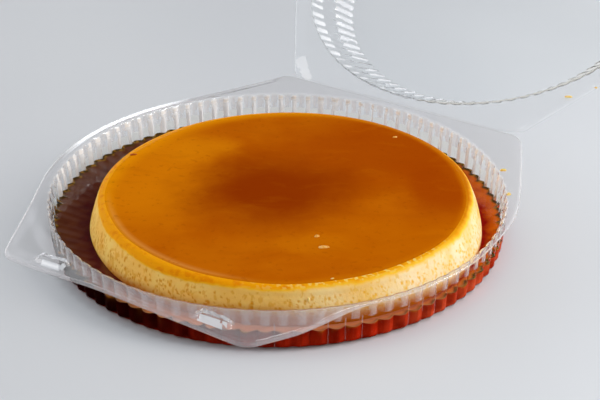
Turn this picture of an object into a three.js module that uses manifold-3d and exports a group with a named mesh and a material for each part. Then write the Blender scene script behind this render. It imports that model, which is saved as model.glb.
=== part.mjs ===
// A leche flan in its clear clamshell: a fluted tray with a hinged, fluted lid standing open behind it,
// the custard turned out upside down in the tray, and the caramel syrup that has run down round it.
// Millimetres, +Z up. The origin is the centre of the tray's foot, on the table. The hinge is at +Y.

import * as THREE from 'three';
import { mergeVertices } from 'three/addons/utils/BufferGeometryUtils.js';
import Module from 'manifold-3d';

const wasm = await Module();
wasm.setup();

// Formed sheet
const sheet = 0.8;
const fluteCount = 90;
const fluteDepth = 2.4;

// Tray
const trayHeight = 23;
const trayRimRadius = 118;
const trayFootRadius = 116;
const trayFootRound = 2.5;

// Flange round both halves: a flat ledge that is round at the sides and has two corners at each end
const frontEdge = 125.6;
const frontCornerX = 65;
const frontCornerRadius = 10;
const hingeEdge = 123;
const hingeCornerRadius = 14;
const trayFlange = { radius: 125, hingeCornerX: 72 };
const lidFlange = { radius: 127, hingeCornerX: 66.5 };
const lipHeight = 3.6;
const flangeWeld = 2.6;

// Lid
const lidRimRadius = 116.5;
const lidShoulderRadius = 102;
const lidShoulderDepth = 16.5;
const lidPanelRadius = 94;
const lidDepth = 25;
const lidTilt = 26;

// Hinge and closing gaps
const hingeGap = 0.6;
const closingGap = 0.4;

// Snap buttons near the front corners, each at its [x, y]
const buttonPlaces = [[-43.5, -120.6], [49.5, -119.2]];
const buttonLength = 18;
const buttonWidth = 5.6;
const buttonHeight = 3;

// Custard, off centre in the tray
const flanX = 9.3;
const flanY = -5.9;
const flanTopRadius = 96;
const flanBaseRadius = 98.6;
const flanWidestRadius = 101.2;
const flanWidestHeight = 6;
const flanHeight = 26.5;
const flanShoulder = 4;
const flanSegments = 96;

// Syrup
const syrupLevel = 9;

// Gap between pieces that touch
const contactGap = 0.3;

// Steps to a curve
const arcSteps = 5;
const rimSteps = 45;

// Closed geometry with its shared vertices merged, and the flat triangles of the poles left out.
function toSolid(geometry) {
  const bare = geometry.clone();
  bare.deleteAttribute('normal');
  bare.deleteAttribute('uv');
  const merged = mergeVertices(bare, 1e-4);
  const corners = merged.index.array;
  const kept = [];
  for (let i = 0; i < corners.length; i += 3) {
    const [a, b, c] = [corners[i], corners[i + 1], corners[i + 2]];
    if (a !== b && b !== c && c !== a) {
      kept.push(a, b, c);
    }
  }
  return new wasm.Manifold(new wasm.Mesh({
    numProp: 3,
    vertProperties: new Float32Array(merged.attributes.position.array),
    triVerts: new Uint32Array(kept),
  }));
}

function toGeometry(solid) {
  const mesh = solid.getMesh();
  const geometry = new THREE.BufferGeometry();
  geometry.setAttribute('position', new THREE.BufferAttribute(mesh.vertProperties, 3));
  geometry.setIndex(new THREE.BufferAttribute(mesh.triVerts, 1));
  return geometry;
}

// Turns a profile of [radius, height, ridge] about Z. Each ray's radius grows or shrinks by the ridge in
// turn, which folds the wall into flutes.
function turnFluted(profile) {
  const points = profile.map(([radius, height]) => new THREE.Vector2(radius, height));
  const geometry = new THREE.LatheGeometry(points, 2 * fluteCount);
  const position = geometry.attributes.position;
  for (let i = 0; i < position.count; i += 1) {
    const ray = Math.floor(i / profile.length);
    const [radius, , ridge] = profile[i % profile.length];
    const fold = ray % 2 === 0 ? ridge : -ridge;
    const stretch = radius > 0 ? (radius + fold) / radius : 0;
    position.setX(i, position.getX(i) * stretch);
    position.setZ(i, position.getZ(i) * stretch);
  }
  geometry.rotateX(Math.PI / 2);
  return toSolid(geometry);
}

// The angle at which a flange's straight side leaves its round, towards a corner.
function sideAngle(flangeRadius, cornerX, cornerY, cornerRadius) {
  const reach = Math.hypot(cornerX, cornerY);
  return Math.atan2(cornerY, cornerX) - Math.acos((flangeRadius - cornerRadius) / reach);
}

// A flange's outline, drawn inside its edge by the inset.
function flangeOutline({ radius, hingeCornerX }, inset) {
  const frontY = frontEdge - frontCornerRadius;
  const hingeY = hingeEdge - hingeCornerRadius;
  const frontSide = sideAngle(radius, frontCornerX, frontY, frontCornerRadius);
  const hingeSide = sideAngle(radius, hingeCornerX, hingeY, hingeCornerRadius);
  const round = radius - inset;
  const frontRound = frontCornerRadius - inset;
  const hingeRound = hingeCornerRadius - inset;
  const shape = new THREE.Shape();
  shape.absarc(-frontCornerX, -frontY, frontRound, Math.PI + frontSide, 1.5 * Math.PI);
  shape.absarc(frontCornerX, -frontY, frontRound, 1.5 * Math.PI, 2 * Math.PI - frontSide);
  shape.absarc(0, 0, round, -frontSide, hingeSide);
  shape.absarc(hingeCornerX, hingeY, hingeRound, hingeSide, Math.PI / 2);
  shape.absarc(-hingeCornerX, hingeY, hingeRound, Math.PI / 2, Math.PI - hingeSide);
  shape.absarc(0, 0, round, Math.PI - hingeSide, Math.PI + frontSide);
  return new THREE.Shape(shape.getPoints(arcSteps));
}

// A straight-sided solid from a shape, between two heights.
function raise(shape, low, high) {
  const geometry = new THREE.ExtrudeGeometry(shape, { depth: high - low, bevelEnabled: false });
  geometry.translate(0, 0, low);
  return toSolid(geometry);
}

// A long button with round ends.
function buttonAt(x, y, grow, low, high) {
  const round = buttonWidth / 2;
  const reach = buttonLength / 2 - round;
  const shape = new THREE.Shape();
  shape.absarc(x + reach, y, round + grow, -Math.PI / 2, Math.PI / 2);
  shape.absarc(x - reach, y, round + grow, Math.PI / 2, 1.5 * Math.PI);
  return raise(new THREE.Shape(shape.getPoints(arcSteps)), low, high);
}

// One half of the clamshell as it lies open and flat: its mating face is at height 0 and its bowl hangs
// below. The bowl comes as a profile from the axis to the rim, along the middle of the sheet. Its sheet
// runs on into the flange by the weld, where the flange's own plate with its round hole takes over.
function formHalf(bowl, rimRadius, flange) {
  const weldRadius = trayRimRadius + flangeWeld;
  const outside = bowl.map(([radius, height, ridge, out, down]) => [
    radius + out * sheet / 2,
    height - down * sheet / 2,
    ridge,
  ]);
  const inside = bowl.map(([radius, height, ridge, out, down]) => [
    radius - out * sheet / 2,
    height + down * sheet / 2,
    ridge,
  ]).reverse();
  const shell = turnFluted([
    ...outside,
    [weldRadius, -sheet, 0],
    [weldRadius, 0, 0],
    ...inside,
  ]);
  const ledge = flangeOutline(flange, 0);
  const hole = new THREE.Path();
  const holeRadius = (rimRadius + fluteDepth / 2 + sheet / 2 + weldRadius) / 2;
  hole.absarc(0, 0, holeRadius, 0, 2 * Math.PI, true);
  ledge.holes.push(new THREE.Path(hole.getPoints(rimSteps)));
  const edge = flangeOutline(flange, 0);
  edge.holes.push(flangeOutline(flange, sheet));
  const hingeRoom = new THREE.BoxGeometry(2 * flange.hingeCornerX, 4 * sheet, 2 * lipHeight);
  hingeRoom.translate(0, hingeEdge, -sheet - lipHeight);
  return shell
    .add(raise(ledge, -sheet, 0))
    .add(raise(edge, -lipHeight, 0).subtract(toSolid(hingeRoom)));
}

// Bowl profiles: [radius, height, ridge, how far the sheet's thickness goes out, and down].
const ridge = fluteDepth / 2;
const footMiddle = Math.SQRT1_2;

const trayBowl = [
  [0, sheet / 2 - trayHeight, 0, 0, 1],
  [trayFootRadius - trayFootRound, sheet / 2 - trayHeight, 0, 0, 1],
  [
    trayFootRadius - trayFootRound * (1 - footMiddle),
    trayFootRound * (1 - footMiddle) - trayHeight + sheet / 4,
    ridge / 2,
    footMiddle,
    footMiddle,
  ],
  [trayFootRadius, trayFootRound - trayHeight, ridge, 1, 0],
  [trayRimRadius, -sheet / 2, ridge, 1, 1],
];

const lidBowl = [
  [0, -lidDepth - sheet / 2, 0, 0, 1],
  [lidPanelRadius, -lidDepth - sheet / 2, 0, 0, 1],
  [lidShoulderRadius, -lidShoulderDepth, ridge, footMiddle, footMiddle],
  [lidRimRadius, -sheet / 2, ridge, 1, 1],
];

// Tray: floor, fluted wall, flange with its turned-down lip, and two hollow snap buttons.
function buildTray() {
  let tray = formHalf(trayBowl, trayRimRadius, trayFlange);
  for (const [x, y] of buttonPlaces) {
    tray = tray
      .add(buttonAt(x, y, 0, -sheet, buttonHeight))
      .subtract(buttonAt(x, y, -sheet, -2 * sheet, buttonHeight - sheet));
  }
  return tray.translate([0, 0, trayHeight]);
}

// Lid: the same flange with a deeper, sloping fluted bowl, and two pockets that snap over the buttons.
// It is turned round to run away from the hinge line, which is its origin, so each pocket is formed on
// the side across from its button.
function buildLid() {
  let lid = formHalf(lidBowl, lidRimRadius, lidFlange);
  for (const [x, y] of buttonPlaces) {
    lid = lid
      .add(buttonAt(-x, y, closingGap + sheet, -buttonHeight - sheet, 0))
      .subtract(buttonAt(-x, y, closingGap, -buttonHeight, sheet));
  }
  return lid
    .rotate([0, 0, 180])
    .translate([0, hingeEdge + hingeGap / 2, -closingGap / 2]);
}

// How far the custard's side stands out at each angle, as a share of its radius: it is not quite round.
function flanSway(angle) {
  return 0.004 * Math.cos(2 * angle + 0.6) + 0.003 * Math.cos(3 * angle + 2.1) + 0.0015 * Math.cos(7 * angle);
}

// Turns the custard's profile of [radius, height] about its own axis, with its sway, all grown by a gap.
function turnFlan(profile, grow) {
  const points = profile.map(([radius, height]) => new THREE.Vector2(radius, height));
  const geometry = new THREE.LatheGeometry(points, flanSegments);
  const position = geometry.attributes.position;
  for (let i = 0; i < position.count; i += 1) {
    const x = position.getX(i);
    const z = position.getZ(i);
    const radius = Math.hypot(x, z);
    const angle = Math.atan2(-z, x);
    const stretch = radius > 0 ? 1 + flanSway(angle) + grow / radius : 0;
    position.setX(i, x * stretch);
    position.setZ(i, z * stretch);
  }
  geometry.rotateX(Math.PI / 2);
  geometry.translate(flanX, flanY, 0);
  return toSolid(geometry);
}

// The custard's side, from its base up to where the rounded shoulder begins.
const flanBase = sheet + contactGap;
const flanSide = [
  [flanBaseRadius, flanBase],
  [flanBaseRadius + 1.6, flanBase + 1.8],
  [flanWidestRadius, flanWidestHeight],
  [flanTopRadius + 2.4, flanHeight - 2.2 * flanShoulder],
  [flanTopRadius + 0.4, flanHeight - flanShoulder],
];

// Custard: a low round cake with a flared side and a rounded shoulder, turned out of its pan.
function buildFlan() {
  const shoulder = [];
  const shoulderSteps = 4;
  for (let i = 1; i <= shoulderSteps; i += 1) {
    const turn = (i / shoulderSteps) * Math.PI / 2;
    shoulder.push([
      flanTopRadius + 0.4 - flanShoulder * (1 - Math.cos(turn)),
      flanHeight - flanShoulder * (1 - Math.sin(turn)),
    ]);
  }
  return turnFlan([[0, flanBase], ...flanSide, ...shoulder, [0, flanHeight]], 0);
}

// Syrup: a ring that fills the tray round the custard up to its level, its outer side in the flutes.
function buildSyrup() {
  const slope = (trayRimRadius - trayFootRadius) / (trayHeight - trayFootRound);
  const gap = sheet / 2 + contactGap + 0.1;
  const round = trayFootRound * (1 - footMiddle);
  const pool = turnFluted([
    [0, flanBase, 0],
    [trayFootRadius - trayFootRound - gap, flanBase, 0],
    [trayFootRadius - round - gap, flanBase + round, ridge / 2],
    [trayFootRadius - gap, trayFootRound + gap / 2, ridge],
    [trayFootRadius - gap + slope * (syrupLevel - trayFootRound), syrupLevel, ridge],
    [0, syrupLevel, 0],
  ]);
  const room = [
    [0, 0],
    [flanBaseRadius, 0],
    ...flanSide,
    [0, flanHeight - flanShoulder],
  ];
  return pool.subtract(turnFlan(room, contactGap + 0.05));
}

function makePiece(name, solid, colour, roughness, opacity) {
  const material = new THREE.MeshStandardMaterial({
    color: colour,
    roughness,
    metalness: 0,
    opacity,
    transparent: opacity < 1,
    flatShading: true,
  });
  const piece = new THREE.Mesh(toGeometry(solid), material);
  piece.name = name;
  return piece;
}

const group = new THREE.Group();

group.add(makePiece('tray', buildTray(), 0xe9eef0, 0.1, 0.3));
group.add(makePiece('flan', buildFlan(), 0xd9992f, 0.35, 1));
group.add(makePiece('syrup', buildSyrup(), 0x4a1204, 0.08, 1));

const lidHinge = new THREE.Group();
lidHinge.position.set(0, hingeEdge + hingeGap / 2, trayHeight + closingGap / 2);
lidHinge.rotation.x = THREE.MathUtils.degToRad(lidTilt);
lidHinge.add(makePiece('lid', buildLid(), 0xe9eef0, 0.1, 0.3));
group.add(lidHinge);

export default group;
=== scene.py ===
import math

import bpy
import numpy as np
from mathutils import Matrix, Vector


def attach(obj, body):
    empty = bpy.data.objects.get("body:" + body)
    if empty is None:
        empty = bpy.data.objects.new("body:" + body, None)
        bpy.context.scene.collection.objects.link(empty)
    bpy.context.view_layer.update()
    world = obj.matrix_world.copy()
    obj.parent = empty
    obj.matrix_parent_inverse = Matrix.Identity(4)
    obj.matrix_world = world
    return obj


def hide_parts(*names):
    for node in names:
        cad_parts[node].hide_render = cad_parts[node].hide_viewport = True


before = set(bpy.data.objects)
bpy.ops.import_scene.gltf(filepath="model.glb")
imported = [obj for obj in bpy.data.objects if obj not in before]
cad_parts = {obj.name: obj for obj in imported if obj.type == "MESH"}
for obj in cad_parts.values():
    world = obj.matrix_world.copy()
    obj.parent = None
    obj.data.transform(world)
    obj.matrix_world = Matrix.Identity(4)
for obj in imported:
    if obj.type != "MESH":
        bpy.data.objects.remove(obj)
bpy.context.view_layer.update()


# The table under the clamshell: a plain pale top, large enough to fill the view and a little cloudy, with painted
# shade that darkens it towards the left of the tray. It lies a hair below the tray's foot, so that the two never
# share a face.
TABLE_SIZE = 12
TABLE_DROP = 0.0003
PALE_STONE = (0.82, 0.835, 0.86, 1)
CLOUDY_STONE = (0.77, 0.785, 0.815, 1)
SHADED_STONE = (0.66, 0.67, 0.69, 1)
LEFT_OF_TRAY = (-0.83, -0.56, 0)


def clear_selection():
    """Leaves edit mode and selects nothing."""
    if bpy.context.object and bpy.context.object.mode != "OBJECT":
        bpy.ops.object.mode_set(mode="OBJECT")
    bpy.ops.object.select_all(action="DESELECT")


def name_piece(name):
    """Names the object that was just added, and its mesh."""
    piece = bpy.context.object
    piece.name = piece.data.name = name
    return piece


def add_node(tree, kind, inputs=None, **settings):
    """Adds a node, with its settings and inputs. An input is a value or another node's output."""
    node = tree.nodes.new(kind)
    for key, value in settings.items():
        setattr(node, key, value)
    for key, value in (inputs or {}).items():
        if isinstance(value, bpy.types.NodeSocket):
            tree.links.new(value, node.inputs[key])
        else:
            node.inputs[key].default_value = value
    return node


def new_finish(name):
    """An empty material, with its tree and its output."""
    material = bpy.data.materials.new(name)
    material.use_nodes = True
    material.node_tree.nodes.clear()
    output = add_node(material.node_tree, "ShaderNodeOutputMaterial")
    return material, material.node_tree, output


def blend_colours(tree, share, first, second):
    """A mix of two colours; the share of the second may be an output."""
    mix = add_node(tree, "ShaderNodeMix", data_type="RGBA")
    for index, value in ((0, share), (6, first), (7, second)):
        if isinstance(value, bpy.types.NodeSocket):
            tree.links.new(value, mix.inputs[index])
        else:
            mix.inputs[index].default_value = value
    return mix.outputs[2]


def ramp(tree, value, start, end, low=0.0, high=1.0, smooth=False):
    """Goes from low to high as a value goes from start to end."""
    return add_node(tree, "ShaderNodeMapRange", {
        "Value": value, "From Min": start, "From Max": end, "To Min": low, "To Max": high},
        interpolation_type="SMOOTHSTEP" if smooth else "LINEAR").outputs[0]


def product(tree, first, second):
    """One mask or value times another."""
    return add_node(tree, "ShaderNodeMath", {0: first, 1: second}, operation="MULTIPLY").outputs[0]


def reach_along(tree, place, direction):
    """How far a place or direction reaches along another direction."""
    reach = add_node(tree, "ShaderNodeVectorMath", {0: place, 1: direction}, operation="DOT_PRODUCT")
    return reach.outputs["Value"]


def own_place(tree):
    """The piece's own coordinates, in metres."""
    return add_node(tree, "ShaderNodeTexCoord").outputs["Object"]


def make_grain_group():
    """Cloudy uneven grain: a mask from noise, with its size, its detail, and where it starts and ends."""
    group = bpy.data.node_groups.new("cloudy_grain", "ShaderNodeTree")
    group.interface.new_socket(name="Vector", in_out="INPUT", socket_type="NodeSocketVector")
    for name in ("Scale", "Detail", "Low", "High"):
        group.interface.new_socket(name=name, in_out="INPUT", socket_type="NodeSocketFloat")
    group.interface.new_socket(name="Mask", in_out="OUTPUT", socket_type="NodeSocketFloat")
    came = add_node(group, "NodeGroupInput")
    noise = add_node(group, "ShaderNodeTexNoise", {
        "Vector": came.outputs["Vector"], "Scale": came.outputs["Scale"], "Detail": came.outputs["Detail"]})
    mask = ramp(group, noise.outputs[0], came.outputs["Low"], came.outputs["High"], smooth=True)
    group.links.new(mask, add_node(group, "NodeGroupOutput").inputs["Mask"])
    return group


grain_group = make_grain_group()


def cloudy_grain(tree, scale, low, high, detail=2.0, stretch=(1, 1, 1)):
    """The grain group in a material, on the piece's own coordinates."""
    placed = add_node(tree, "ShaderNodeMapping", {"Vector": own_place(tree), "Scale": stretch}).outputs[0]
    grain = add_node(tree, "ShaderNodeGroup", node_tree=grain_group)
    tree.links.new(placed, grain.inputs["Vector"])
    for key, value in (("Scale", scale), ("Detail", detail), ("Low", low), ("High", high)):
        grain.inputs[key].default_value = value
    return grain.outputs["Mask"]


clear_selection()
bpy.ops.mesh.primitive_plane_add(size=TABLE_SIZE, location=(0, 0, -TABLE_DROP))
table_top = name_piece("table_top")
table_finish, tree, output = new_finish("pale_table")
stone = blend_colours(tree, cloudy_grain(tree, 3, 0.35, 0.7), CLOUDY_STONE, PALE_STONE)
# Painted shade: the top is darkened towards the left of the tray, where less light falls.
shade_at_left = ramp(tree, reach_along(tree, own_place(tree), LEFT_OF_TRAY), -0.15, 0.3)
stone = blend_colours(tree, shade_at_left, stone, SHADED_STONE)
surface = add_node(tree, "ShaderNodeBsdfPrincipled", {"Base Color": stone, "Roughness": 0.45})
tree.links.new(surface.outputs[0], output.inputs[0])
table_top.data.materials.append(table_finish)


# The light: a soft window at the right, a long low one at the left, a small sheet overhead and a pale room. The
# room is dim where the flat tops would mirror it, and has a narrow bright strip low behind at the left, which
# the flange's slope mirrors as a white arc.
STRIP_WAY = (-0.725, 0.688, 0.0)
ACROSS_STRIP = (-0.688, -0.725, 0.0)
STRIP_POWER = 3.4
PALE_SIDE = (-0.93, 0.2, 0.3)
DIM_FRONT = (0.3, -0.93, 0.2)
DARK_WALL = (-0.49, 0.73, 0.47)


def hang_light(name, place, aim, width, height, power, colour):
    """A soft rectangular light at a place, turned to what it lights."""
    lamp = bpy.data.lights.new(name, "AREA")
    lamp.shape = "RECTANGLE"
    lamp.size, lamp.size_y, lamp.energy, lamp.color = width, height, power, colour
    holder = bpy.data.objects.new(name, lamp)
    bpy.context.scene.collection.objects.link(holder)
    holder.location = place
    holder.rotation_euler = (Vector(place) - Vector(aim)).to_track_quat("Z", "Y").to_euler()


hang_light("window_right", (1.14, 0.62, 0.62), (0.05, 0.0, 0.02), 0.6, 0.6, 13, (1.0, 0.985, 0.96))
hang_light("window_left", (-1.05, -0.88, 0.32), (0.0, -0.05, 0.0), 0.9, 0.4, 4.2, (1.0, 0.985, 0.97))
hang_light("sheet_overhead", (0.40, 0.20, 1.15), (0.0, 0.05, 0.0), 0.3, 0.3, 2.0, (0.97, 0.985, 1.0))

room = bpy.data.worlds.new("pale_room")
room.use_nodes = True
tree = room.node_tree
tree.nodes.clear()
way = add_node(tree, "ShaderNodeTexCoord").outputs["Generated"]
height = add_node(tree, "ShaderNodeSeparateXYZ", {0: way}).outputs[2]
bright = ramp(tree, height, 0.15, 0.6, 0.9, 0.42, smooth=True)
glow = ramp(tree, reach_along(tree, way, PALE_SIDE), 0.55, 0.95, 0.0, 0.7, smooth=True)
bright = add_node(tree, "ShaderNodeMath", {0: bright, 1: glow}, operation="ADD").outputs[0]
bright = product(tree, bright, ramp(tree, reach_along(tree, way, DIM_FRONT), 0.35, 0.9, 1.0, 0.55, smooth=True))
bright = product(tree, bright, ramp(tree, reach_along(tree, way, DARK_WALL), 0.86, 0.95, 1.0, 0.08, smooth=True))
strip = ramp(tree, reach_along(tree, way, STRIP_WAY), 0.8, 0.85)
aside = add_node(tree, "ShaderNodeMath", {0: reach_along(tree, way, ACROSS_STRIP)}, operation="ABSOLUTE")
strip = product(tree, strip, ramp(tree, aside.outputs[0], 0.095, 0.055))
strip = product(tree, strip, ramp(tree, height, 0.34, 0.23))
bright = add_node(tree, "ShaderNodeMath", {0: strip, 1: STRIP_POWER, 2: bright}, operation="MULTIPLY_ADD")
walls = add_node(tree, "ShaderNodeBackground", {"Color": (0.93, 0.96, 1.0, 1), "Strength": bright.outputs[0]})
tree.links.new(walls.outputs[0], add_node(tree, "ShaderNodeOutputWorld").inputs[0])
bpy.context.scene.world = room
bpy.context.scene.view_settings.view_transform = "Standard"


# The camera: close, about 34 degrees to the right of the front and 28 above level, aimed just behind the tray's
# middle.
TURN = math.radians(33.98)
RISE = math.radians(28.37)
AIM = Vector((-0.0048, 0.0276, 0.0))
DISTANCE = 0.709
LENS = 78.07

view_back = Vector((math.sin(TURN) * math.cos(RISE), -math.cos(TURN) * math.cos(RISE), math.sin(RISE)))
camera = bpy.data.objects.new("camera", bpy.data.cameras.new("camera"))
bpy.context.scene.collection.objects.link(camera)
camera.location = AIM + DISTANCE * view_back
camera.rotation_euler = view_back.to_track_quat("Z", "Y").to_euler()
camera.data.lens = LENS
bpy.context.scene.camera = camera


# The tray: a round fluted dish of thin clear plastic, formed in one with a flat flange, a turned-down lip and
# two snap buttons. The flange is round at the sides and has two corners at the front and two at the hinge.
# The sheet is drawn out ring by ring, pressed into flutes, and then given its thickness.
MM = 0.001
FLUTES = 90
RAYS = FLUTES * 9
RIDGE = 1.2
SHEET = 0.5
RIM_HEIGHT = 23.0
HINGE_Y = 123.3
HINGE_Z = 23.2
LIP_DROP = 3.0
FRONT_Y = 125.6
TRAY_FOOT = 116.0
FOOT_LIFT = 0.3
FOOT_ROUND = 2.4
TRAY_RIM = 117.0
TRAY_FLANGE = 125.0
TRAY_CORNER_X = 72.0
TRIMMED_REACH = 120.8
RIM_ROUND = 2.0
FLANGE_RINGS = 16
LIP_ROUND = ((1.6, 0.08), (1.0, 0.28), (0.5, 0.6), (0.2, 1.0), (0.05, 1.7), (0.0, 3.0))
BUTTONS = ((-43.5, -120.6), (49.5, -119.2))
BUTTON_HALF = (6.4, 2.9)
POCKET_HALF = (7.0, 3.6)
BUTTON_RISE = 2.6
PANEL_EDGE = 93.5
WALL_SLOPE = 0.9 / 17.5


def side_angle(radius, corner_x, corner_y, corner_round):
    """The angle at which the flange's straight side leaves its round, towards a corner."""
    reach = math.hypot(corner_x, corner_y)
    return math.atan2(corner_y, corner_x) - math.acos((radius - corner_round) / reach)


def flange_reach(angles, radius, hinge_corner_x):
    """How far the flange's edge lies from the axis along each ray, and how far from the hinge line."""
    front_x, front_round, hinge_round = 65.0, 10.0, 14.0
    front_y, hinge_y = FRONT_Y - front_round, HINGE_Y - hinge_round
    front = side_angle(radius, front_x, front_y, front_round)
    hinge = side_angle(radius, hinge_corner_x, hinge_y, hinge_round)
    arcs = (
        (-front_x, -front_y, front_round, math.pi + front, 1.5 * math.pi),
        (front_x, -front_y, front_round, 1.5 * math.pi, 2 * math.pi - front),
        (0, 0, radius, -front, hinge),
        (hinge_corner_x, hinge_y, hinge_round, hinge, math.pi / 2),
        (-hinge_corner_x, hinge_y, hinge_round, math.pi / 2, math.pi - hinge),
        (0, 0, radius, math.pi - hinge, math.pi + front),
    )
    corners = []
    for x, y, bend, start, end in arcs:
        for turn in np.linspace(start, end, 40):
            corners.append((x + bend * math.cos(turn), y + bend * math.sin(turn)))
    outline = []
    for (x0, y0), (x1, y1) in zip(corners, corners[1:] + corners[:1]):
        steps = max(1, int(math.hypot(x1 - x0, y1 - y0)))
        for step in range(steps):
            outline.append((x0 + (x1 - x0) * step / steps, y0 + (y1 - y0) * step / steps))
    outline = np.array(outline)
    around = np.arctan2(outline[:, 1], outline[:, 0])
    order = np.argsort(around)
    reach = np.interp(angles, around[order], np.hypot(*outline.T)[order], period=2 * math.pi)
    return reach, HINGE_Y - reach * np.sin(angles)


def ease(value, low, high):
    """0 below low, 1 above high, and a smooth way between."""
    share = np.clip((value - low) / (high - low), 0, 1)
    return share * share * (3 - 2 * share)


def spread_rays(angles):
    """Moves evenly spaced rays so that two of the nine in each flute stand close to its narrow ridge."""
    steps = np.round((angles + math.pi) * RAYS / (2 * math.pi)).astype(int)
    places = np.array((-0.13, 0.13, 0.6, 1.05, 1.52, 2.0, 2.48, 2.95, 3.4))
    return np.radians(steps // 9 * 4 + places[steps % 9]) - math.pi


def fold(angles):
    """The flutes at each angle: wide scallops that bulge out to 1 and meet in narrow ridges, in to -1."""
    bulge = np.sqrt(np.cos((angles / 2 - math.radians(1)) * FLUTES) ** 2 + 0.005)
    return 2 * bulge - 1


def from_ridge(angles):
    """How many degrees each angle lies from the nearest ridge."""
    return np.abs((np.degrees(angles) + 2) % 4 - 2)


def draw_rings(name, stations, rays, face):
    """A sheet drawn out from a ring through stations of radius and height."""
    clear_selection()
    radius, height = stations[0]
    bpy.ops.mesh.primitive_circle_add(vertices=rays, radius=radius, fill_type="NGON" if face else "NOTHING",
                                      location=(0, 0, 0))
    piece = name_piece(name)
    bpy.ops.object.mode_set(mode="EDIT")
    bpy.ops.mesh.select_all(action="SELECT")
    bpy.ops.transform.translate(value=(0, 0, height))
    bpy.ops.mesh.select_mode(type="EDGE")
    bpy.ops.mesh.select_all(action="DESELECT")
    bpy.ops.mesh.select_non_manifold()
    for (radius, height), (next_radius, next_height) in zip(stations, stations[1:]):
        bpy.ops.mesh.extrude_edges_move(TRANSFORM_OT_translate={"value": (0, 0, next_height - height)})
        grow = next_radius / radius
        bpy.ops.transform.resize(value=(grow, grow, 1), center_override=(0, 0, 0))
    bpy.ops.object.mode_set(mode="OBJECT")
    return piece


def read_points(piece):
    """A mesh's points as an array."""
    points = np.empty(len(piece.data.vertices) * 3)
    piece.data.vertices.foreach_get("co", points)
    return points.reshape(-1, 3)


def write_points(piece, points):
    """Puts a mesh's points back."""
    piece.data.vertices.foreach_set("co", points.ravel())
    piece.data.update()


def find_stations(points, stations):
    """Which station's ring each point lies on."""
    rings = np.array(stations)
    radius = np.hypot(points[:, 0], points[:, 1])
    return np.hypot(radius[:, None] - rings[:, 0], points[:, 2][:, None] - rings[:, 1]).argmin(1)


def close_sheet(piece, thickness):
    """Turns the sheet's faces one way and gives it its thickness, half to each side."""
    clear_selection()
    piece.select_set(True)
    bpy.context.view_layer.objects.active = piece
    bpy.ops.object.mode_set(mode="EDIT")
    bpy.ops.mesh.select_all(action="SELECT")
    bpy.ops.mesh.remove_doubles(threshold=1e-6)
    bpy.ops.mesh.normals_make_consistent(inside=False)
    bpy.ops.object.mode_set(mode="OBJECT")
    bpy.ops.object.modifier_add(type="SOLIDIFY")
    wall = piece.modifiers[-1]
    wall.thickness = thickness
    wall.offset = 0
    wall.use_even_offset = True
    bpy.ops.object.modifier_apply(modifier=wall.name)


def smooth_piece(piece, degrees):
    """Shades a piece smooth, apart from its edges that turn sharply."""
    clear_selection()
    piece.select_set(True)
    bpy.context.view_layer.objects.active = piece
    bpy.ops.object.shade_smooth_by_angle(angle=math.radians(degrees))


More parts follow.
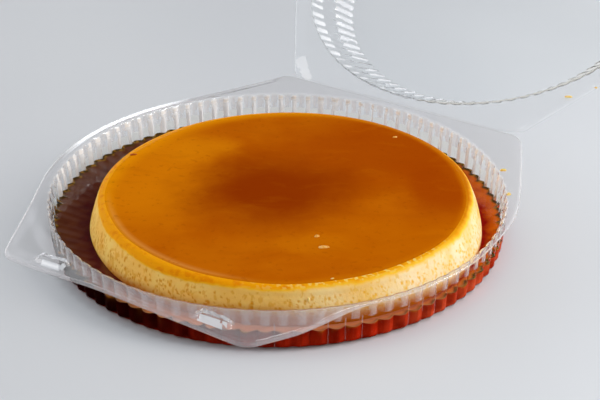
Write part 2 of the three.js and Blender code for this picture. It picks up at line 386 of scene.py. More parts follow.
def form_half(name, bowl, rim_radius, rim_flutes, flange_radius, hinge_corner_x, button_side, trim):
    """One half of the clamshell, lying open with its flange at height 0 and its bowl below. A row of the bowl is
    [radius, height, share of the full flute, share of the ridge]. The buttons stand up on side 1 and are
    pockets on side -1. The trim narrows the flange at the right of the front."""
    stations = [row[:2] for row in bowl]
    flutes = [row[2] for row in bowl]
    ridges = [row[-1] for row in bowl]
    middle = -SHEET / 2 - 0.05
    inner = rim_radius + RIM_ROUND + 0.5
    for step in range(7):
        turn = step / 6 * math.pi / 2
        out, down = RIM_ROUND * (1 - math.cos(turn)), RIM_ROUND * (1 - math.sin(turn))
        stations.append((rim_radius + out, middle - down))
        flutes.append(rim_flutes * (0.9 - 0.8 * step / 6))
        ridges.append(0)
    start = len(stations)
    stations += [(inner + ring, middle) for ring in range(FLANGE_RINGS)]
    stations += [(rim_radius + FLANGE_RINGS + 8, middle - 1 - ring) for ring in range(len(LIP_ROUND))]
    flutes += [0] * (FLANGE_RINGS + len(LIP_ROUND))
    ridges += [0] * (FLANGE_RINGS + len(LIP_ROUND))
    piece = draw_rings(name, stations, RAYS, True)
    points = read_points(piece)
    ring = find_stations(points, stations)
    angles = spread_rays(np.arctan2(points[:, 1], points[:, 0]))
    reach, from_hinge = flange_reach(angles, flange_radius, hinge_corner_x)
    turn = np.degrees(angles)
    reach += trim * (TRIMMED_REACH - reach) * ease(turn, -53, -35) * (1 - ease(turn, 2, 34)) - 0.15
    flat_lip = trim * ease(turn, -46, -34) * (1 - ease(turn, 2, 34))
    wave = fold(angles)
    wave = np.where(wave > 0, wave * np.array(flutes)[ring], wave * np.array(ridges)[ring])
    radius = np.hypot(points[:, 0], points[:, 1]) + RIDGE * wave
    height = points[:, 2].copy()
    on_flange = (ring >= start) & (ring < start + FLANGE_RINGS)
    share = (ring - start) / (FLANGE_RINGS - 1)
    bend = np.clip((reach - inner - 0.5) / 3, 0.2, 1)
    width = reach - 0.2 - 2.3 * bend - inner
    run = np.clip(width, 0.5, 6)
    droop = 0.15 * np.clip(width, 0, 6) * ease(from_hinge, 1, 9)
    radius = np.where(on_flange, inner + width * share, radius)
    height -= on_flange * droop * np.clip((radius - inner - width + run) / run, 0, 1) ** 1.15
    lip_step = ring - (start + FLANGE_RINGS)
    drop = 0.3 + (LIP_DROP - 0.3) * ease(from_hinge, 0.5, 7) * (1 - 0.85 * flat_lip)
    for step, (inset, low) in enumerate(LIP_ROUND):
        here = lip_step == step
        radius = np.where(here, reach - 0.2 - inset * bend, radius)
        below = np.maximum((drop - 0.6 * droop) * low / LIP_DROP, 0.02 * step)
        height = np.where(here, middle - droop - below, height)
    points = np.stack([radius * np.cos(angles), radius * np.sin(angles), height], 1)
    for x, y in BUTTONS:
        x *= button_side
        half_length, half_width = BUTTON_HALF if button_side > 0 else POCKET_HALF
        across = np.hypot(np.maximum(np.abs(points[:, 0] - x) - half_length, 0), points[:, 1] - y)
        press = ease(-across, -half_width, -half_width + 1.1) * on_flange
        points[:, 2] += press * button_side * BUTTON_RISE
    write_points(piece, points)
    return piece


def make_clear_sheet(name, tint, clear, gloss, bend=1.08):
    """Thin clear plastic: mirrors light for the eye and lets lamps through. What isn't clear is haze, and a sheet
    that is wet behind bends light less."""
    material, tree, output = new_finish(name)
    haze = cloudy_grain(tree, 45, 0.3, 0.8)
    rough = ramp(tree, haze, 0.0, 1.0, 0.03, 0.09)
    ripple = add_node(tree, "ShaderNodeBump", {"Height": haze, "Strength": 0.05, "Distance": 0.0005})
    sheet = add_node(tree, "ShaderNodeBsdfPrincipled", {
        "Base Color": tint, "Roughness": rough, "IOR": bend, "Transmission Weight": clear,
        "Coat Weight": gloss, "Coat Roughness": 0.05, "Coat IOR": 1.5, "Normal": ripple.outputs[0]})
    open_way = add_node(tree, "ShaderNodeBsdfTransparent", {"Color": (0.97, 0.975, 0.98, 1)})
    path = add_node(tree, "ShaderNodeLightPath")
    lamps = add_node(tree, "ShaderNodeMath", {
        0: path.outputs["Is Shadow Ray"], 1: path.outputs["Is Diffuse Ray"]}, operation="MAXIMUM")
    mix = add_node(tree, "ShaderNodeMixShader", {
        0: lamps.outputs[0], 1: sheet.outputs[0], 2: open_way.outputs[0]})
    tree.links.new(mix.outputs[0], output.inputs[0])
    return material


CLEAR, HAZY, MILKY_SHEEN, WET, WHITE_HIGHLIGHT, PALE_HIGHLIGHT = range(6)


def finish_half(piece, name, rim_radius, haze, highlight_heights, streaks, is_wet, highlight_width, has_painted_highlight, lip_line):
    """Gives a half its finishes. The drawn bowl is clear and the thicker flange hazy, with a milky lip in front of
    the lip line whose whiteness is partly a painted reflection. The ridges are painted with white highlights
    between the highlight heights and with fainter painted highlight streaks between those of the streaks, and the
    places that has_painted_highlight picks out get the white highlight too. Where the wall is wet it mirrors
    little."""
    piece.data.materials.append(make_clear_sheet("clear_" + name, (0.97, 0.98, 0.98, 1), 1.0, 0.4))
    piece.data.materials.append(make_clear_sheet("hazy_" + name, haze, 0.89, 0.7))
    piece.data.materials.append(make_clear_sheet("milky_sheen_" + name, (0.92, 0.90, 0.91, 1), 0.8, 0.45))
    piece.data.materials.append(make_clear_sheet("wet_" + name, (0.95, 0.925, 0.87, 1), 1.0, 0.02, 1.03))
    piece.data.materials.append(make_clear_sheet("white_highlight_" + name, (0.97, 0.98, 1.0, 1), 0.35, 1.0))
    piece.data.materials.append(make_clear_sheet("pale_highlight_" + name, (0.97, 0.98, 1.0, 1), 0.62, 0.2))
    for face in piece.data.polygons:
        x, y, z = face.center
        reach = math.hypot(x, y)
        ridge = from_ridge(math.atan2(y, x))
        if reach > (rim_radius + RIM_ROUND) * MM:
            # Milky lip at the front: partly whitish haze and partly a painted reflection.
            face.material_index = MILKY_SHEEN if abs(face.normal.z) < 0.7 and y < lip_line else HAZY
            if has_painted_highlight(x / MM, y / MM, face.normal):
                face.material_index = WHITE_HIGHLIGHT
        elif reach > PANEL_EDGE * MM:
            # Painted highlights: the ridges turn white between the highlight heights and pale between the streak
            # heights.
            if highlight_heights[0] < z / MM < highlight_heights[1] and ridge < highlight_width(x, y):
                face.material_index = WHITE_HIGHLIGHT
            elif streaks[0] < z / MM < streaks[1] and ridge < highlight_width(x, y):
                face.material_index = PALE_HIGHLIGHT
            elif is_wet(x, y, z):
                # On the wet wall the ridges keep the hazy finish as painted pale highlight lines, save where x + y
                # is below -0.06.
                face.material_index = WET if ridge > 0.1 or x + y < -0.06 else HAZY
            else:
                face.material_index = HAZY if reach > (rim_radius + 0.3) * MM else CLEAR


tray_bowl = [(radius, FOOT_LIFT - RIM_HEIGHT, 0) for radius in (30.0, 80.0, 112.0)]
for step in range(6):
    turn = (step / 5 - 1) * math.pi / 2
    height = FOOT_LIFT + FOOT_ROUND * (1 + math.sin(turn))
    tray_bowl.append((TRAY_FOOT - FOOT_ROUND * (1 - math.cos(turn)), height - RIM_HEIGHT, step / 5))
for height, ridge in ((6, 1), (10, 1), (14, 1), (17, 1), (17.8, 0.85), (18.6, 0.5), (19.4, 0.15), (20.2, 0)):
    slant = (height - FOOT_LIFT - FOOT_ROUND) * WALL_SLOPE
    tray_bowl.append((TRAY_FOOT + slant, height - RIM_HEIGHT, 1, ridge))
tray = form_half("tray_shell", tray_bowl, TRAY_RIM, 1.0, TRAY_FLANGE, TRAY_CORNER_X, 1, 1)
points = read_points(tray)
beyond = ease(np.hypot(points[:, 0], points[:, 1]), 119.5, 128)
left_front = beyond * ease(-points[:, 1], 80, 122) * ease(-points[:, 0], 10, 60)
points[:, 2] -= 2.8 * left_front
points[:, 0] -= 3.0 * left_front
points[:, 2] += RIM_HEIGHT
write_points(tray, points * MM)
close_sheet(tray, SHEET * MM)
smooth_piece(tray, 50)


def tray_highlight_width(x, y):
    """How wide the painted white highlights on the tray's ridges are, in degrees: on the far side only, most at
    the left.
    """
    far = 0.83 * y - 0.56 * x > 0.01
    return (0.75 if x < -0.035 else 0.4) * far


def on_button_highlight(x, y, normal):
    """Whether a place lies on the steep side of a snap button, which is painted white as a highlight."""
    half_length, half_width = BUTTON_HALF
    beside = min(max(abs(x - middle) - half_length, abs(y - line) - half_width) for middle, line in BUTTONS)
    return beside < 0.5 and abs(normal.z) < 0.8


finish_half(tray, "tray_sheet", TRAY_RIM, (0.945, 0.935, 0.94, 1), (19.6, 22.0), (0, 19.6),
            lambda x, y, z: z < 0.013, tray_highlight_width, on_button_highlight, -0.07)
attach(tray, "tray")
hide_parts("tray")


# The lid: the other half of the same clear sheet, with a deeper sloping fluted bowl, a flat panel and two
# pockets that snap over the buttons. The crease along its straight edge holds it open behind the tray.
LID_TILT = math.radians(26)
LID_GAP = 0.2
LID_RIM = 115.5
LID_FLANGE = 127.0
LID_CORNER_X = 66.5
LID_PANEL = -25.4
lid_bowl = [(30.0, LID_PANEL, 0), (80.0, LID_PANEL, 0)]
for step in range(5):
    turn = step / 4
    lid_bowl.append((92.6 + 1.9 * turn, LID_PANEL + 1.5 * turn * turn, 0.1 + 0.6 * turn))
for step in range(1, 5):
    share = step / 4
    lid_bowl.append((94.5 + 7.3 * share, -23.9 + 7.2 * share, 0.7 + 0.3 * share))
for step in range(1, 10):
    share = step / 10
    ridge = (0.15 + 0.85 * abs(2 * share - 1) ** 1.5) * (1 - 0.5 * ease(share, 0.7, 1.0))
    lid_bowl.append((101.8 + 13.7 * share, -16.7 + 14.0 * share, ridge, ridge * (1 - ease(share, 0.75, 0.9))))
lid = form_half("lid_shell", lid_bowl, LID_RIM, 0.45, LID_FLANGE, LID_CORNER_X, -1, 0)
write_points(lid, read_points(lid) * MM)
close_sheet(lid, SHEET * MM)


def lid_highlight_width(x, y):
    """How wide the painted white highlights on the lid's ridges are, in degrees: at the left and by the hinge."""
    return 1.0 if x > 0.06 else 0.5 if x > 0.03 or y > 0.085 else 0


def on_corner_highlight(x, y, normal):
    """Whether a place lies on the painted white highlight across the lid's left corner at the hinge."""
    start, along, length = Vector((64, 122.5)), Vector((14, -13.5)).normalized(), 19
    place = Vector((x, y)) - start
    share = min(max(place.dot(along), 0), length)
    return (place - share * along).length < 2.2 + 0.06 * share


finish_half(lid, "lid_sheet", LID_RIM, (0.93, 0.94, 0.95, 1), (-8.2, -3.2), (-24.8, -15.5),
            lambda x, y, z: x < -0.01, lid_highlight_width, on_corner_highlight, -1)
lid.data.transform(
    Matrix.Translation((0, HINGE_Y * MM, HINGE_Z * MM))
    @ Matrix.Rotation(LID_TILT, 4, "X")
    @ Matrix.Translation((0, HINGE_Y * MM, -LID_GAP * MM))
    @ Matrix.Rotation(math.pi, 4, "Z")
)
smooth_piece(lid, 50)
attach(lid, "lid")
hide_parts("lid")


# The custard: egg and milk baked in a round pan and turned out upside down, so it is widest near its base and
# has a soft round shoulder. Its side is full of small upright bubbles, and caramel has soaked its shoulder.
FLAN_X, FLAN_Y = 9.3, -5.9
FLAN_BASE = 1.1
FLAN_TOP = 26.2
SHOULDER_FOOT = 22.2
SHOULDER = 4
FLAN_RAYS = 1024
PITS = 2300


def flan_sway(angles):
    """How far the side stands out at each angle, as a share of its radius."""
    return 0.004 * np.cos(2 * angles + 0.6) + 0.003 * np.cos(3 * angles + 2.1) + 0.0015 * np.cos(7 * angles)


def side_radius(height):
    """The custard's mean radius at a height on its side."""
    heights = (FLAN_BASE, 2.9, 6.0, 10.0, 17.7, 21.2, 22.4)
    return np.interp(height, heights, (98.6, 100.2, 101.1, 100.6, 98.4, 97.0, 96.4))


def close_top(piece):
    """Closes the last ring with a face and turns all faces outwards."""
    bpy.ops.object.mode_set(mode="EDIT")
    bpy.ops.mesh.select_all(action="DESELECT")
    bpy.ops.mesh.select_non_manifold()
    bpy.ops.mesh.edge_face_add()
    bpy.ops.mesh.select_all(action="SELECT")
    bpy.ops.mesh.normals_make_consistent(inside=False)
    bpy.ops.object.mode_set(mode="OBJECT")


def paint_mask(piece, name, values):
    """Keeps a share for each point of a piece, which its finish reads by name."""
    piece.data.attributes.new(name, "FLOAT", "POINT").data.foreach_set("value", values)


def painted(tree, name):
    """A share that was kept for each point."""
    return add_node(tree, "ShaderNodeAttribute", attribute_name=name).outputs["Fac"]


flan_stations = []
for height in np.linspace(FLAN_BASE, SHOULDER_FOOT, 42):
    flan_stations.append((float(side_radius(height)), float(height)))
for step in range(1, 10):
    turn = step / 9 * math.pi / 2
    flan_stations.append((96.3 - SHOULDER * (1 - math.cos(turn)), FLAN_TOP - SHOULDER * (1 - math.sin(turn))))
for radius in (91, 88, 83, 76, 66, 52, 36, 18, 4):
    flan_stations.append((float(radius), FLAN_TOP))

flan = draw_rings("custard", flan_stations, FLAN_RAYS, True)
close_top(flan)
points = read_points(flan)
angles = np.arctan2(points[:, 1], points[:, 0])
radius = np.hypot(points[:, 0], points[:, 1])
height = points[:, 2]
on_side = ease(radius, 93.5, 96) * ease(-height, -23.2, -21.0) * ease(height, 1.2, 2.4)

draw = np.random.default_rng(41)
pit_depth = np.zeros(len(points))
pit_mask = np.zeros(len(points))
for _ in range(PITS):
    place = draw.uniform(-math.pi, math.pi)
    level = 3 + 19.5 * draw.beta(1.4, 1.7)
    wide = 0.35 + 0.65 * draw.beta(1.2, 3)
    tall = wide * draw.uniform(0.9, 1.8)
    deep = draw.uniform(0.03, 0.12) * wide
    near = np.abs(height - level) < 2 * tall
    aside = (angles[near] - place + math.pi) % (2 * math.pi) - math.pi
    away = np.hypot(aside * 99 / wide, (height[near] - level) / tall)
    dent = np.clip(1 - away * away, 0, 1)
    pit_depth[near] = np.maximum(pit_depth[near], dent * deep)
    pit_mask[near] = np.maximum(pit_mask[near], ease(dent, 0.0, 0.6))
wobble = 0.15 * np.sin(angles * 9 + 2 * np.sin(height * 0.2)) * np.sin(height * 0.3 + 2 * np.sin(angles * 5))
stretch = 1 + flan_sway(angles) + (wobble - pit_depth) * on_side / np.maximum(radius, 1)
points[:, 0] = FLAN_X + points[:, 0] * stretch
points[:, 1] = FLAN_Y + points[:, 1] * stretch
write_points(flan, points * MM)
# Where the caramel has soaked to, how blurred that border is, how high the foot is stained by the syrup and
# darkened by painted shade, which reaches highest at the front, and how strong the pits look. Each changes with
# the angle from the right, going round to the left over the back.
turn = np.degrees(angles)
border = np.interp(turn, (-180, -150, -130, -110, -90, -60, -20, 0, 90, 180),
                   (24.5, 24.3, 23.9, 23.3, 22.9, 25.2, 25.5, 25.3, 24.5, 24.5))
for waves in (11, 17, 29, 37, 53, 71, 97, 131, 173):
    border += draw.uniform(0.5, 1.3) * 0.16 * (20 / waves) ** 0.5 * np.sin(angles * waves + draw.uniform(0, 6))
blur = np.interp(turn, (-180, -100, -60, -20, 180), (0.5, 0.5, 0.9, 1.8, 0.8))
stain_and_shade_top = np.interp(turn, (-180, -130, -100, -60, -20, 10, 180), (10.5, 10.5, 16.5, 20.5, 17.5, 11, 9))
stain_and_shade_blur = np.interp(turn, (-130, -90, -20, 10), (4, 8, 8, 4))
pit_share = np.interp(turn, (-180, -150, -110, 90, 180), (0.45, 0.5, 1, 1, 0.45))
paint_mask(flan, "pit", pit_mask * on_side * pit_share)
paint_mask(flan, "soak", np.maximum(ease(height - border, -blur, blur), ease(height, 25.9, 26.1)))
paint_mask(flan, "stain_and_shade", ease(stain_and_shade_top - height, 0, stain_and_shade_blur))
smooth_piece(flan, 60)

custard_finish, tree, output = new_finish("baked_custard")
right, back, up = add_node(tree, "ShaderNodeSeparateXYZ", {0: own_place(tree)}).outputs
# Painted light and shade: the custard turns paler towards the lit right and deeper orange towards the shaded left.
lit_right = ramp(tree, right, 0.045, 0.13, smooth=True)
deep = blend_colours(tree, lit_right, (0.98, 0.54, 0.115, 1), (0.92, 0.62, 0.24, 1))
cream = blend_colours(tree, lit_right, (1.0, 0.635, 0.165, 1), (0.98, 0.79, 0.54, 1))
cream = blend_colours(tree, cloudy_grain(tree, 60, 0.35, 0.65, 3.0), deep, cream)
dots = blend_colours(tree, lit_right, (0.80, 0.34, 0.015, 1), (0.96, 0.58, 0.05, 1))
speckle = cloudy_grain(tree, 480, 0.56, 0.66, 1.0, (1, 1, 0.6))
cream = blend_colours(tree, product(tree, speckle, 0.55), cream, dots)
lower = ramp(tree, up, 0.021, 0.015, 0.0, 0.5)
smudge = product(tree, cloudy_grain(tree, 260, 0.56, 0.72, 1.0, (1, 1, 0.45)), lower)
cream = blend_colours(tree, smudge, cream, dots)
pit_tone = blend_colours(tree, lit_right, (0.72, 0.27, 0.006, 1), (0.98, 0.52, 0.02, 1))
cream = blend_colours(tree, product(tree, painted(tree, "pit"), 0.88), cream, pit_tone)
# The foot's syrup stain, which towards the front reaches higher as painted shade.
cream = blend_colours(tree, painted(tree, "stain_and_shade"), cream, (0.42, 0.10, 0.006, 1))
golden = blend_colours(tree, lit_right, (0.95, 0.36, 0.002, 1), (0.90, 0.36, 0.005, 1))
ripe = blend_colours(tree, lit_right, (0.86, 0.265, 0.001, 1), (0.82, 0.28, 0.002, 1))
amber = blend_colours(tree, cloudy_grain(tree, 230, 0.48, 0.66, 3.0), golden, ripe)
behind = product(tree, ramp(tree, back, -0.01, 0.05), ramp(tree, right, -0.06, 0.01))
amber = blend_colours(tree, behind, amber, (0.62, 0.17, 0.001, 1))
# Painted highlights: pale yellow spots on the soaked shoulder at the right front, where the window lights it.
lit_spots = product(tree, ramp(tree, right, 0.04, 0.08, 0.0, 0.85), ramp(tree, back, 0.0, -0.03))
lit_spots = product(tree, lit_spots, cloudy_grain(tree, 420, 0.5, 0.6, 1.0))
amber = blend_colours(tree, lit_spots, amber, (1.0, 0.68, 0.16, 1))
soak = painted(tree, "soak")
yellow = blend_colours(tree, lit_right, (1.0, 0.50, 0.02, 1), (1.0, 0.58, 0.045, 1))
first_half = ramp(tree, soak, 0.0, 0.5)
last_half = ramp(tree, soak, 0.5, 1.0)
colour = blend_colours(tree, last_half, blend_colours(tree, first_half, cream, yellow), amber)
crumb = add_node(tree, "ShaderNodeBump", {
    "Height": cloudy_grain(tree, 700, 0.3, 0.7, 3.0), "Strength": 0.2, "Distance": 0.0003})
surface = add_node(tree, "ShaderNodeBsdfPrincipled", {
    "Base Color": colour, "Roughness": 0.5, "Specular IOR Level": 0.02, "Normal": crumb.outputs[0],
    "Subsurface Weight": 0.2, "Subsurface Radius": (1.0, 0.55, 0.2), "Subsurface Scale": 0.003})
tree.links.new(surface.outputs[0], output.inputs[0])
flan.data.materials.append(custard_finish)
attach(flan, "tray")
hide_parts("flan")


# The caramel on top: the sugar that lined the pan, now a thin wet film on the custard, darker in the middle and
# lighter towards the left. It stops just inside the shoulder with a soft rounded edge.
FILM_RAYS = 360
FILM_FOOT = 26.0
FILM_TOP = 26.5
film_stations = [(float(radius), FILM_FOOT) for radius in (10, 50, 84, 90)]
film_stations += [(91.9, 26.05), (92.1, 26.12), (91.8, 26.2), (91.0, 26.3), (90.0, 26.39), (88.7, 26.46)]
film_stations += [(float(radius), FILM_TOP) for radius in (87.5, 86, 84, 81, 78, 70, 56, 40, 24, 8)]
film = draw_rings("caramel_film", film_stations, FILM_RAYS, True)
close_top(film)
points = read_points(film)
angles = np.arctan2(points[:, 1], points[:, 0])
radius = np.hypot(points[:, 0], points[:, 1])
spread = 0.2 * np.sin(angles * 5 + 1) + 0.15 * np.sin(angles * 13 + 2)
stretch = 1 + flan_sway(angles) + spread / 90
points[:, 0] = FLAN_X + points[:, 0] * stretch
points[:, 1] = FLAN_Y + points[:, 1] * stretch
write_points(film, points * MM)
turn = np.degrees(angles)
inner = np.interp(turn, (-180, -150, -120, -90, -60, -20, 0, 90, 140, 180),
                  (79, 83, 87, 88, 87.5, 87, 89, 89, 82, 79))
paint_mask(film, "thin_edge", ease(radius, inner, 92))
# A painted highlight along the film's rounded edge at the front and left.
ridge = np.exp(-((radius - 89.8) / np.interp(turn, (-180, -100, -70), (0.9, 1.2, 1.0))) ** 2)
paint_mask(film, "edge_glint", ridge * ease(turn, -148, -118) * ease(-turn, 60, 85))
smooth_piece(film, 60)

# A soft oval patch: 1 in its middle and 0 at its edge, with its centre and its reach each way.
patch_group = bpy.data.node_groups.new("soft_patch", "ShaderNodeTree")
for name in ("Vector", "Centre", "Spread"):
    patch_group.interface.new_socket(name=name, in_out="INPUT", socket_type="NodeSocketVector")
patch_group.interface.new_socket(name="Mask", in_out="OUTPUT", socket_type="NodeSocketFloat")
came = add_node(patch_group, "NodeGroupInput").outputs
offset = add_node(patch_group, "ShaderNodeVectorMath", {0: came["Vector"], 1: came["Centre"]},
                  operation="SUBTRACT").outputs[0]
scaled = add_node(patch_group, "ShaderNodeVectorMath", {0: offset, 1: came["Spread"]},
                  operation="DIVIDE").outputs[0]
away = add_node(patch_group, "ShaderNodeVectorMath", {0: scaled}, operation="LENGTH").outputs["Value"]
near = ramp(patch_group, away, 0.25, 1.0, 1.0, 0.0, smooth=True)
patch_group.links.new(near, add_node(patch_group, "NodeGroupOutput").inputs["Mask"])

film_finish, tree, output = new_finish("caramel_glaze")
place = own_place(tree)
centred = add_node(tree, "ShaderNodeMapping", {
    "Vector": place, "Location": (-FLAN_X * MM, -FLAN_Y * MM, 0)}, vector_type="POINT").outputs[0]
turned = add_node(tree, "ShaderNodeVectorRotate", {"Vector": centred, "Angle": -TURN}, rotation_type="Z_AXIS")
drift = add_node(tree, "ShaderNodeTexNoise", {
    "Vector": turned.outputs[0], "Scale": 22, "Detail": 6.0, "Roughness": 0.6}).outputs["Color"]
for operation, value in (("SUBTRACT", (0.5, 0.5, 0.5)), ("MULTIPLY", (0.05, 0.03, 0)),
                         ("ADD", turned.outputs[0]), ("MULTIPLY", (1, 1, 0))):
    drift = add_node(tree, "ShaderNodeVectorMath", {0: drift, 1: value}, operation=operation).outputs[0]
flat = drift
colour = blend_colours(tree, cloudy_grain(tree, 30, 0.3, 0.7, 4.0), (0.50, 0.10, 0.0, 1),
                       (0.57, 0.135, 0.001, 1))
# The paler and darker patches, with left to right first and near to far second: [centre, reach, strength, tone].
patches = (
    ((-0.075, 0.015, 0), (0.055, 0.09, 1), 0.75, (0.74, 0.215, 0.001, 1)),
    ((-0.047, 0.046, 0), (0.03, 0.022, 1), 0.5, (0.78, 0.25, 0.002, 1)),
    ((0.055, 0.045, 0), (0.085, 0.06, 1), 0.8, (0.39, 0.055, 0.0, 1)),
    ((0.080, 0.000, 0), (0.032, 0.05, 1), 0.85, (0.38, 0.052, 0.0, 1)),
    ((0.045, -0.052, 0), (0.06, 0.03, 1), 0.6, (0.56, 0.13, 0.0, 1)),
    ((0.010, -0.058, 0), (0.035, 0.014, 1), 0.6, (0.62, 0.165, 0.001, 1)),
    ((-0.045, -0.028, 0), (0.03, 0.012, 1), 0.5, (0.60, 0.15, 0.001, 1)),
    ((-0.008, -0.002, 0), (0.066, 0.056, 1), 0.92, (0.27, 0.028, 0.0, 1)),
)
for centre, reach, strength, tone in patches:
    patch = add_node(tree, "ShaderNodeGroup", node_tree=patch_group)
    tree.links.new(flat, patch.inputs["Vector"])
    patch.inputs["Centre"].default_value = centre
    patch.inputs["Spread"].default_value = reach
    colour = blend_colours(tree, product(tree, patch.outputs[0], strength), colour, tone)
right = add_node(tree, "ShaderNodeSeparateXYZ", {0: place}).outputs[0]
edge_tone = blend_colours(tree, ramp(tree, right, -0.06, 0.02), (0.88, 0.31, 0.001, 1), (0.62, 0.17, 0.001, 1))
colour = blend_colours(tree, product(tree, painted(tree, "thin_edge"), 0.8), colour, edge_tone)
# The painted highlight on the film's edge.
colour = blend_colours(tree, product(tree, painted(tree, "edge_glint"), 0.38), colour, (0.82, 0.37, 0.09, 1))
long = add_node(tree, "ShaderNodeVectorMath", {0: flat, 1: (0.45, 1.6, 1)}, operation="MULTIPLY").outputs[0]
streaks = add_node(tree, "ShaderNodeTexNoise", {"Vector": long, "Scale": 60, "Detail": 4.0, "Roughness": 0.6})
dark_streak = ramp(tree, streaks.outputs[0], 0.52, 0.75, 0.0, 0.2)
colour = blend_colours(tree, dark_streak, colour, (0.33, 0.05, 0.0, 1))
pale_streak = ramp(tree, streaks.outputs[0], 0.45, 0.25, 0.0, 0.12)
colour = blend_colours(tree, pale_streak, colour, (0.80, 0.25, 0.002, 1))
dark_speck = product(tree, cloudy_grain(tree, 330, 0.6, 0.72, 2.0), 0.22)
colour = blend_colours(tree, dark_speck, colour, (0.30, 0.045, 0.0, 1))
waves = add_node(tree, "ShaderNodeBump", {
    "Height": cloudy_grain(tree, 38, 0.2, 0.8, 2.0), "Strength": 0.12, "Distance": 0.001})
surface = add_node(tree, "ShaderNodeBsdfPrincipled", {
    "Base Color": colour, "Roughness": 0.25, "Specular IOR Level": 0.0, "Normal": waves.outputs[0],
    "Coat Weight": 0.1, "Coat Roughness": 0.06, "Coat IOR": 1.33})
tree.links.new(surface.outputs[0], output.inputs[0])
film.data.materials.append(film_finish)
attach(film, "tray")


# The syrup: thin caramel that has run off the custard and fills the moat round it up to its level. It wets
# both the fluted wall and the custard, and creeps up each of them in a fine edge, which painted glints brighten
# where it is seen through the wall.
LEVEL = 8.0
LEAN = 1.8
SYRUP_FOOT = 0.62
MOAT_EDGE = 112.0


def wall_radius(height):
    """The middle of the tray's wall at a height, with the round at its foot."""
    above = np.clip(height - FOOT_LIFT - FOOT_ROUND, 0, None)
    below = np.clip(FOOT_LIFT + FOOT_ROUND - height, 0, FOOT_ROUND) / FOOT_ROUND
    return TRAY_FOOT + above * WALL_SLOPE - FOOT_ROUND * (1 - np.sqrt(1 - below ** 2))


def flan_side(height, inset):
    """The custard's side at a height along each ray, or a place inside it."""
    return np.array([FLAN_X, FLAN_Y]) + toward * ((side_radius(height) * (1 + flan_sway(angles)) - inset)[:, None])


# From the foot up the wall, [inset from the wall, height], across the moat, and down along the custard, [share of
# the way, inset into the custard, height].
up_wall = [(0.0, height) for height in (SYRUP_FOOT, 1.2, 2.0, 3.2, 4.5, LEVEL - 0.5, LEVEL + 0.75)]
up_wall += [(0.4, LEVEL + 0.78), (0.75, LEVEL + 0.5), (1.2, LEVEL + 0.25), (1.9, LEVEL + 0.08), (3.0, LEVEL)]
across = [(0.5, None, LEVEL), (1.0, None, LEVEL), (None, -0.6, LEVEL), (None, -0.1, LEVEL + 0.04),
          (None, 0.6, LEVEL), (None, 1.6, LEVEL - 0.2), (None, 1.6, 5.0), (None, 1.6, SYRUP_FOOT)]
syrup_stations = [(118.0 + 0.01 * step, SYRUP_FOOT + step) for step in range(len(up_wall) + len(across))]
syrup = draw_rings("syrup_moat", syrup_stations, RAYS, False)
bpy.ops.object.mode_set(mode="EDIT")
bpy.ops.mesh.select_mode(type="EDGE")
bpy.ops.mesh.select_all(action="DESELECT")
bpy.ops.mesh.select_non_manifold()
bpy.ops.mesh.bridge_edge_loops()
bpy.ops.object.mode_set(mode="OBJECT")
points = read_points(syrup)
ring = find_stations(points, syrup_stations)
angles = spread_rays(np.arctan2(points[:, 1], points[:, 0]))
toward = np.stack([np.cos(angles), np.sin(angles)], 1)
placed = np.zeros((len(points), 3))
for step, (inset, height) in enumerate(up_wall):
    here = ring == step
    reach = wall_radius(height) + RIDGE * ease(height, FOOT_LIFT, FOOT_LIFT + FOOT_ROUND) * fold(angles) - inset
    placed[here, :2] = (toward * reach[:, None])[here]
    placed[here, 2] = height
outer_edge = toward * (wall_radius(LEVEL) + RIDGE * fold(angles) * 0.6 - 3.0)[:, None]
inner_edge = flan_side(LEVEL, -1.2)
for step, (share, inset, height) in enumerate(across):
    here = ring == len(up_wall) + step
    spot = outer_edge + (inner_edge - outer_edge) * share if share else flan_side(height, inset)
    placed[here, :2] = spot[here]
    placed[here, 2] = height
lean = -LEAN * (0.17 * placed[:, 0] + 0.985 * placed[:, 1]) / TRAY_FOOT
placed[:, 2] += lean * ease(placed[:, 2], 1.0, LEVEL - 0.3)
write_points(syrup, placed * MM)
clear_selection()
syrup.select_set(True)
bpy.context.view_layer.objects.active = syrup
bpy.ops.object.mode_set(mode="EDIT")
bpy.ops.mesh.select_all(action="SELECT")
bpy.ops.mesh.normals_make_consistent(inside=False)
bpy.ops.object.mode_set(mode="OBJECT")
smooth_piece(syrup, 50)

near_wall = np.interp(ring, (0, 6, 11, 12, 13, 19), (1, 1, 0.9, 0.45, 0, 0))
paint_mask(syrup, "near_wall", near_wall)
# Stripes by the flutes near the wall: partly the fluted foot showing through thin syrup, partly a painted
# reflection of the flutes.
paint_mask(syrup, "flute_streak_and_reflection", near_wall * ease(fold(angles), -0.2, 0.9))
paint_mask(syrup, "brim", np.interp(ring, (4, 5, 6, 9, 10, 11), (0, 0.1, 1, 1, 0.5, 0)))

syrup_finish, tree, output = new_finish("dark_caramel_syrup")
place = own_place(tree)
right = add_node(tree, "ShaderNodeSeparateXYZ", {0: place}).outputs[0]
# Painted light: the syrup is lighter and redder towards the right, where the window lights it through.
lit = ramp(tree, right, -0.07, 0.1, smooth=True)
thick = blend_colours(tree, lit, (0.06, 0.004, 0.003, 1), (0.25, 0.003, 0.0, 1))
thin = blend_colours(tree, lit, (0.12, 0.028, 0.006, 1), (0.56, 0.09, 0.0, 1))
shallow = add_node(tree, "ShaderNodeMath", {
    0: cloudy_grain(tree, 120, 0.3, 0.7, 3.0), 1: 0.5, 2: painted(tree, "near_wall")}, operation="MULTIPLY_ADD")
colour = blend_colours(tree, ramp(tree, shallow.outputs[0], 0.2, 1.1), thick, thin)
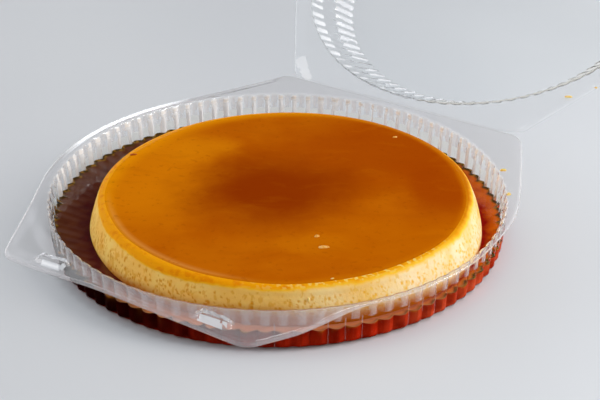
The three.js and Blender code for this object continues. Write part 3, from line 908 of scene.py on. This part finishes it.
# The flute stripes, partly a painted reflection.
flute_reflection = product(tree, painted(tree, "flute_streak_and_reflection"), cloudy_grain(tree, 90, 0.25, 0.6, 2.0))
flute_reflection_tone = blend_colours(tree, lit, (0.16, 0.065, 0.045, 1), (0.62, 0.13, 0.001, 1))
colour = blend_colours(tree, product(tree, flute_reflection, 0.7), colour, flute_reflection_tone)
olive = blend_colours(tree, cloudy_grain(tree, 330, 0.5, 0.62, 1.0), (0.07, 0.034, 0.003, 1),
                      (0.30, 0.145, 0.012, 1))
colour = blend_colours(tree, painted(tree, "brim"), colour, olive)
# Painted reflection: the syrup on the near side is tinted pinkish tan, like the custard's foot mirrored in it.
painted_reflection_near = ramp(tree, reach_along(tree, place, (0.6, -0.8, 0)), 0.07, 0.11, 0.0, 0.7)
colour = blend_colours(tree, painted_reflection_near, colour, (0.64, 0.245, 0.12, 1))
ripple = add_node(tree, "ShaderNodeBump", {
    "Height": cloudy_grain(tree, 130, 0.2, 0.8, 2.0), "Strength": 0.12, "Distance": 0.001})
surface = add_node(tree, "ShaderNodeBsdfPrincipled", {
    "Base Color": colour, "Roughness": 0.06, "Specular IOR Level": 0.17, "Coat Weight": 0.04,
    "Coat Roughness": 0.02, "Normal": ripple.outputs[0]})
tree.links.new(surface.outputs[0], output.inputs[0])
syrup.data.materials.append(syrup_finish)

# Where the syrup is seen through the wall its colour is painted light and shade: lighter towards the right and
# brightest at the far right where the window lights it, darker towards the top and in shaded patches, with a
# painted red glow along the foot and painted orange glints along the brim.
deep_finish, tree, output = new_finish("syrup_behind_sheet")
right, back, up = add_node(tree, "ShaderNodeSeparateXYZ", {0: own_place(tree)}).outputs
lit = ramp(tree, right, -0.02, 0.13, smooth=True)
colour = blend_colours(tree, lit, (0.016, 0.0004, 0.0002, 1), (0.54, 0.022, 0.004, 1))
shadowed = blend_colours(tree, lit, (0.004, 0.0001, 0.0, 1), (0.19, 0.004, 0.0005, 1))
far_right = ramp(tree, right, 0.098, 0.118)
colour = blend_colours(tree, far_right, colour, (0.66, 0.09, 0.03, 1))
shadowed = blend_colours(tree, far_right, shadowed, (0.36, 0.02, 0.004, 1))
colour = blend_colours(tree, cloudy_grain(tree, 90, 0.35, 0.75, 2.0), colour, shadowed)
colour = blend_colours(tree, ramp(tree, up, 0.004, 0.0095, 0.0, 0.55), colour, shadowed)
glow = ramp(tree, up, 0.0025, 0.0006, smooth=True)
colour = blend_colours(tree, glow, colour, (0.25, 0.008, 0.001, 1))
brim = product(tree, painted(tree, "brim"), cloudy_grain(tree, 140, 0.5, 0.75, 1.0))
colour = blend_colours(tree, brim, colour, (0.52, 0.17, 0.02, 1))
surface = add_node(tree, "ShaderNodeBsdfPrincipled", {
    "Base Color": colour, "Roughness": 0.4, "Specular IOR Level": 0.0})
tree.links.new(surface.outputs[0], output.inputs[0])
syrup.data.materials.append(deep_finish)
for face in syrup.data.polygons:
    outward = Vector((face.center.x, face.center.y, 0))
    faces_wall = outward.length > MOAT_EDGE * MM and outward.normalized().dot(face.normal) > 0.3
    face.material_index = int(faces_wall)
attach(syrup, "tray")
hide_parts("syrup")


# Small bits left by turning out and carrying: crumbs of custard on the rim, the side and the lid, a burnt fleck
# and a few burst bubbles on the caramel. Each is a little lump, flattened and pressed on where it lies.
def press_bit(name, place, size, turn, finish, body):
    """A small uneven lump at a place in millimetres."""
    clear_selection()
    bpy.ops.mesh.primitive_ico_sphere_add(subdivisions=2, radius=1, location=(0, 0, 0))
    bit = name_piece(name)
    lump = read_points(bit)
    lump *= 1 + 0.22 * np.sin(3.1 * lump[:, :1] + turn) * np.sin(2.7 * lump[:, 1:2] + 2 * turn)
    lump *= size
    across, along = lump[:, 0].copy(), lump[:, 1].copy()
    lump[:, 0] = across * math.cos(turn) - along * math.sin(turn)
    lump[:, 1] = across * math.sin(turn) + along * math.cos(turn)
    write_points(bit, (lump + place) * MM)
    bpy.ops.object.shade_smooth()
    bit.data.materials.append(finish)
    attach(bit, body)


def make_bit_finish(name, grain, dark, light, rough, gloss, soft):
    """Two mottled tones; the softness is how far light sinks in."""
    finish, tree, output = new_finish(name)
    tone = blend_colours(tree, cloudy_grain(tree, grain, 0.4, 0.6, 1.0), dark, light)
    surface = add_node(tree, "ShaderNodeBsdfPrincipled", {
        "Base Color": tone, "Roughness": rough, "Specular IOR Level": gloss,
        "Subsurface Weight": soft, "Subsurface Scale": 0.002})
    tree.links.new(surface.outputs[0], output.inputs[0])
    return finish


crumb_finish = make_bit_finish("custard_crumb", 900, (0.90, 0.56, 0.09, 1), (0.95, 0.74, 0.28, 1), 0.45, 0.15, 0.3)
bubble_finish = make_bit_finish("burst_bubble", 700, (0.82, 0.36, 0.05, 1), (0.88, 0.48, 0.14, 1), 0.45, 0.1, 0)
burnt_finish = make_bit_finish("burnt_fleck", 900, (0.36, 0.06, 0.003, 1), (0.50, 0.10, 0.004, 1), 0.5, 0.05, 0)
bits = (
    ("fleck_burnt", (-80.3, -20.3, 26.45), (2.1, 1.3, 0.2), 0.6, burnt_finish, "tray"),
    ("crumb_rim_right", (89.6, 80.3, 22.9), (1.9, 1.3, 0.6), 0.4, crumb_finish, "tray"),
    ("crumb_rim_low", (104.0, 57.4, 22.9), (1.6, 1.1, 0.55), 1.7, crumb_finish, "tray"),
    ("crumb_shoulder_edge", (76.4, -66.6, 26.35), (0.9, 0.5, 0.3), 0.9, crumb_finish, "tray"),
    ("crumb_side", (72.6, -80.4, 21.0), (0.5, 0.45, 1.3), 0.2, crumb_finish, "tray"),
    ("bubble_round", (49.6, -38.6, 26.5), (1.3, 1.4, 0.35), 0.5, bubble_finish, "tray"),
    ("bubble_long", (57.9, -45.4, 26.5), (2.9, 1.5, 0.25), 0.6, bubble_finish, "tray"),
    ("bubble_far", (25.2, 76.8, 26.5), (1.2, 1.2, 0.3), 0.1, bubble_finish, "tray"),
    ("crumb_lid_large", (92.4, 154.9, 38.7), (2.3, 1.2, 0.5), 0.3, crumb_finish, "lid"),
    ("crumb_lid_small", (104.3, 164.8, 43.6), (0.9, 0.8, 0.4), 1.2, crumb_finish, "lid"),
)
for bit in bits:
    press_bit(*bit)
